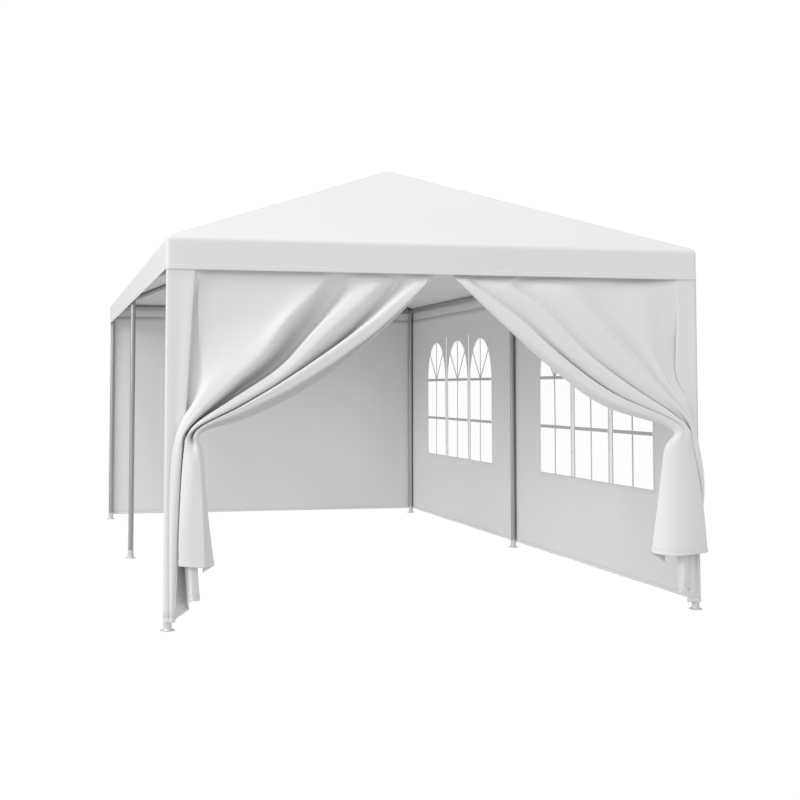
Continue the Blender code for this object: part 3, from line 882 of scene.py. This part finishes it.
RIGHT_THREADS = (
    # turned back along the post's side
    upright(1522, 30),
    # corner of the post
    upright(1522, -14),
    # flat strip over the post
    upright(1508, -22),
    # strip
    ((1470, -22, 1948), (1471, -22, 1880), (1472, -22, 1780), (1474, -22, 1620), (1476, -22, 1440),
     (1478, -22, 1250), (1480, -22, 1070), (1482, -22, 900), (1486, -22, 560), (1492, -22, 45)),
    # edge of the strip
    ((1428, -16, 1948), (1414, -22, 1880), (1403, -22, 1824), (1398, -23, 1639), (1386, -23, 1478),
     (1392, -24, 1306), (1478, -26, 1151), (1480, -24, 900), (1463, -24, 560), (1441, -22, 45)),
    # soft valley at the strip
    ((1400, -8, 1948), (1391, -14, 1880), (1384, -20, 1824), (1411, -16, 1640), (1427, -4, 1479),
     (1427, -12, 1301), (1472, -28, 1140), (1494, -27, 900), (1480, -12, 560), (1462, 6, 45)),
    # flank of the soft part
    ((1330, 6, 1948), (1309, 0, 1880), (1291, -18, 1822), (1294, -18, 1638), (1295, -24, 1466),
     (1336, -36, 1300), (1457, -50, 1123), (1500, -45, 923), (1526, -42, 678), (1497, -30, 100)),
    # soft part
    ((1190, 18, 1948), (1161, 12, 1880), (1135, -18, 1820), (1169, -34, 1636), (1218, -42, 1465),
     (1320, -56, 1283), (1449, -66, 1107), (1507, -60, 924), (1536, -57, 679), (1500, -34, 300)),
    # third valley
    ((950, 16, 1948), (913, 10, 1880), (881, -10, 1821), (952, -12, 1646), (1102, -8, 1474),
     (1262, -28, 1286), (1442, -60, 1092), (1486, -66, 924), (1529, -64, 680), (1497, -34, 380)),
    # third ridge
    ((800, 14, 1948), (762, 8, 1880), (727, -30, 1817), (862, -50, 1660), (1025, -61, 1489),
     (1207, -67, 1300), (1430, -74, 1078), (1470, -56, 924), (1519, -50, 679), (1486, -20, 380)),
    # third ridge
    ((700, 14, 1948), (657, 8, 1880), (619, -30, 1821), (755, -46, 1664), (943, -54, 1468),
     (1176, -60, 1283), (1436, -50, 1072), (1440, 56, 900), (1436, 90, 560), (1470, 12, 60)),
    # slope to the second crease
    ((630, 16, 1948), (584, 10, 1880), (543, -26, 1821), (704, -40, 1670), (910, -47, 1457),
     (1155, -52, 1271), (1433, -44, 1069), (1455, -12, 900), (1462, -10, 560), (1454, -30, 125)),
    # second layer
    ((585, 18, 1948), (536, 12, 1880), (496, -18, 1824), (668, -31, 1674), (890, -35, 1451),
     (1144, -43, 1262), (1422, -52, 1069), (1430, -18, 900), (1425, -42, 560), (1386, -85, 127)),
    # second crease
    ((550, 18, 1948), (502, 12, 1880), (462, -12, 1825), (641, -24, 1675), (875, -26, 1444),
     (1136, -34, 1256), (1415, -52, 1067), (1405, -12, 900), (1398, -4, 560), (1374, -30, 111)),
    # hidden pleat
    ((520, 20, 1948), (471, 14, 1880), (433, -12, 1826), (618, -23, 1681), (857, -22, 1448),
     (1127, -22, 1258), (1422, -30, 1065), (1425, 72, 900), (1440, 110, 580), (1440, 130, 330)),
    # turn behind the skirt
    ((485, 12, 1948), (435, 6, 1880), (395, -26, 1826), (586, -38, 1686), (826, -42, 1461),
     (1101, -50, 1267), (1413, -56, 1064), (1450, -16, 900), (1470, -10, 600), (1490, 0, 345)),
    # second ridge
    ((440, 14, 1948), (388, 8, 1880), (347, -28, 1827), (547, -44, 1694), (774, -54, 1473),
     (1064, -63, 1270), (1412, -70, 1061), (1474, -54, 913), (1526, -56, 623), (1553, -56, 330)),
    # right flank of the skirt
    ((330, 16, 1948), (297, 10, 1880), (272, -24, 1829), (499, -38, 1666), (719, -48, 1454),
     (1020, -60, 1247), (1401, -73, 1053), (1432, -74, 914), (1459, -90, 627), (1455, -112, 326)),
    # slope to the first crease
    ((280, 18, 1948), (251, 12, 1880), (230, -18, 1832), (482, -26, 1651), (714, -32, 1435),
     (1011, -44, 1226), (1394, -68, 1050), (1401, -80, 915), (1400, -103, 629), (1384, -136, 324)),
    # first crease
    ((250, 20, 1948), (222, 14, 1880), (203, -12, 1833), (466, -14, 1640), (714, -10, 1427),
     (1014, -20, 1220), (1388, -64, 1049), (1378, -82, 915), (1364, -106, 630), (1341, -142, 322)),
    # hidden pleat
    ((200, 20, 1948), (191, 14, 1880), (185, -14, 1834), (446, -20, 1643), (701, -20, 1429),
     (1002, -30, 1222), (1381, -70, 1049), (1360, -82, 915), (1334, -105, 630), (1305, -141, 323)),
    # upper edge of the front band
    ((125, 12, 1948), (150, 6, 1880), (166, -26, 1834), (426, -42, 1649), (677, -56, 1436),
     (977, -66, 1229), (1374, -76, 1052), (1340, -79, 915), (1300, -99, 630), (1259, -130, 327)),
    # front band
    ((80, 10, 1948), (116, 4, 1880), (139, -30, 1836), (390, -48, 1635), (654, -61, 1417),
     (960, -68, 1209), (1358, -71, 1042), (1321, -74, 915), (1273, -87, 630), (1227, -109, 331)),
    # lower edge of the front band
    ((40, 12, 1948), (81, 6, 1880), (107, -28, 1837), (344, -48, 1619), (623, -58, 1401),
     (941, -62, 1187), (1347, -64, 1036), (1302, -63, 915), (1256, -72, 629), (1210, -88, 333)),
    # front edge
    ((6, 16, 1948), (64, 10, 1880), (98, -4, 1840), (347, 8, 1620), (628, 24, 1384),
     (961, 30, 1158), (1341, -46, 1029), (1294, -50, 914), (1249, -55, 628), (1202, -62, 333)),
    # front edge turned in
    ((12, 22, 1948), (91, 16, 1880), (135, 20, 1843), (382, 40, 1630), (669, 58, 1396),
     (996, 58, 1169), (1367, -16, 1026), (1334, -16, 907), (1306, -14, 606), (1308, -12, 273)),
)


def spline(points, steps, tension):
    """A smooth curve through points along their first axis."""
    points = np.asarray(points, float)
    before = 2 * points[0] - points[1]
    after = 2 * points[-1] - points[-2]
    padded = np.concatenate([before[None], points, after[None]])
    samples = []
    for index in range(len(points) - 1):
        a, b, c, d = padded[index:index + 4]
        leave = tension * (c - a)
        arrive = tension * (d - b)
        for step in range(steps):
            t = step / steps
            samples.append((2 * t ** 3 - 3 * t ** 2 + 1) * b + (t ** 3 - 2 * t ** 2 + t) * leave
                           + (3 * t ** 2 - 2 * t ** 3) * c + (t ** 3 - t ** 2) * arrive)
    samples.append(points[-1])
    return np.array(samples)


def relax(grid, rounds):
    """Rounds off kinks inside a grid of points without moving its edges."""
    for _ in range(rounds):
        around = (grid[:-2, 1:-1] + grid[2:, 1:-1] + grid[1:-1, :-2] + grid[1:-1, 2:]) / 4
        grid[1:-1, 1:-1] = 0.5 * grid[1:-1, 1:-1] + 0.5 * around
    return grid


def make_curtain(name, threads, material):
    threads = np.array(threads, float) / 1000
    columns = np.array([spline(thread, ROW_STEPS, ROW_TENSION) for thread in threads])
    grid = relax(spline(columns, COLUMN_STEPS, COLUMN_TENSION).transpose(1, 0, 2), RELAX_ROUNDS)
    grid[..., 1] += FRONT_LINE
    piece = thicken(surface_object(name + "_sheet", grid, material), SHEET_THICKNESS)
    return piece, hem_band(name + "_hem", grid, sewn_hem)


curtain_sheet = woven("curtain_sheet", COVER_WHITE)
for side, threads in (("left", LEFT_THREADS), ("right", RIGHT_THREADS)):
    curtain, hem = make_curtain(side + "_curtain", threads, curtain_sheet)
    for piece in (curtain, hem):
        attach(piece, "root")
    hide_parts(side + "_curtain")

# Stage: a plain white floor and backdrop that give soft light from all round,
# as in a catalogue picture, with five broad lamps, the strongest high up and on
# the left, and the camera low in front of the open corner.
FLOOR_SIZE = 60.0
FLOOR_DROP = 0.001
FLOOR_GLOW = 0.62
WORLD_GLOW = 0.60
LAMP_SIZE = 8.0
LAMP_AIM = Vector((0, 0, 1.2))
LAMPS = (("left_light", (-20.0, -6.0, 7.0), 1440.0),
         ("top_light", (-6.0, -5.0, 20.0), 1470.0),
         ("front_light", (-12.0, -20.0, 11.0), 520.0),
         ("low_light", (-4.0, -22.0, 4.0), 170.0),
         ("right_light", (16.0, -16.0, 9.0), 420.0))
CAMERA_PLACE = (-2.1396, -9.9476, 1.2575)
CAMERA_YAW = 13.148
CAMERA_PITCH = 3.498
CAMERA_ROLL = -0.035
CAMERA_LENS = 59.107
CAMERA_SHIFT = (0.06, -0.115)


def make_stage():
    shape = bmesh.new()
    bmesh.ops.create_grid(shape, x_segments=1, y_segments=1, size=FLOOR_SIZE / 2)
    mesh = bpy.data.meshes.new("floor")
    shape.to_mesh(mesh)
    shape.free()
    floor = bpy.data.objects.new("floor", mesh)
    floor.location = (0, 0, -FLOOR_DROP)
    bpy.context.scene.collection.objects.link(floor)
    paint = bpy.data.materials.new("pale_floor")
    paint.use_nodes = True
    nodes = paint.node_tree.nodes
    links = paint.node_tree.links
    shader = nodes["Principled BSDF"]
    shader.inputs["Base Color"].default_value = (0.05, 0.05, 0.05, 1)
    shader.inputs["Roughness"].default_value = 0.9
    shader.inputs["Emission Color"].default_value = (1, 1, 1, 1)
    shader.inputs["Emission Strength"].default_value = FLOOR_GLOW
    white = nodes.new("ShaderNodeEmission")
    white.inputs["Color"].default_value = (1, 1, 1, 1)
    seen = nodes.new("ShaderNodeLightPath")
    choose = nodes.new("ShaderNodeMixShader")
    links.new(seen.outputs["Is Camera Ray"], choose.inputs["Fac"])
    links.new(shader.outputs["BSDF"], choose.inputs[1])
    links.new(white.outputs["Emission"], choose.inputs[2])
    links.new(choose.outputs["Shader"], nodes["Material Output"].inputs["Surface"])
    mesh.materials.append(paint)


def make_world():
    world = bpy.data.worlds.new("studio")
    world.use_nodes = True
    nodes = world.node_tree.nodes
    links = world.node_tree.links
    backdrop = nodes["Background"]
    backdrop.inputs["Color"].default_value = (1, 1, 1, 1)
    backdrop.inputs["Strength"].default_value = 1.0
    light = nodes.new("ShaderNodeBackground")
    light.inputs["Color"].default_value = (1, 1, 1, 1)
    light.inputs["Strength"].default_value = WORLD_GLOW
    seen = nodes.new("ShaderNodeLightPath")
    choose = nodes.new("ShaderNodeMixShader")
    links.new(seen.outputs["Is Camera Ray"], choose.inputs["Fac"])
    links.new(light.outputs["Background"], choose.inputs[1])
    links.new(backdrop.outputs["Background"], choose.inputs[2])
    links.new(choose.outputs["Shader"], nodes["World Output"].inputs["Surface"])
    bpy.context.scene.world = world


def make_lamp(name, place, energy):
    data = bpy.data.lights.new(name, "AREA")
    data.shape = "DISK"
    data.size = LAMP_SIZE
    data.energy = energy
    lamp = bpy.data.objects.new(name, data)
    lamp.location = place
    lamp.rotation_euler = (LAMP_AIM - Vector(place)).to_track_quat("-Z", "Y").to_euler()
    bpy.context.scene.collection.objects.link(lamp)


def make_camera():
    data = bpy.data.cameras.new("camera")
    data.sensor_width = 36.0
    data.lens = CAMERA_LENS
    data.shift_x, data.shift_y = CAMERA_SHIFT
    data.clip_end = 100.0
    camera = bpy.data.objects.new("camera", data)
    yaw, pitch, roll = (math.radians(a) for a in (CAMERA_YAW, CAMERA_PITCH, CAMERA_ROLL))
    turn = (Matrix.Rotation(-yaw, 4, "Z") @ Matrix.Rotation(math.pi / 2 + pitch, 4, "X")
            @ Matrix.Rotation(-roll, 4, "Z"))
    camera.matrix_world = Matrix.Translation(CAMERA_PLACE) @ turn
    bpy.context.scene.collection.objects.link(camera)
    bpy.context.scene.camera = camera


make_stage()
make_world()
for name, place, energy in LAMPS:
    make_lamp(name, place, energy)
make_camera()
bpy.context.scene.view_settings.view_transform = "Standard"
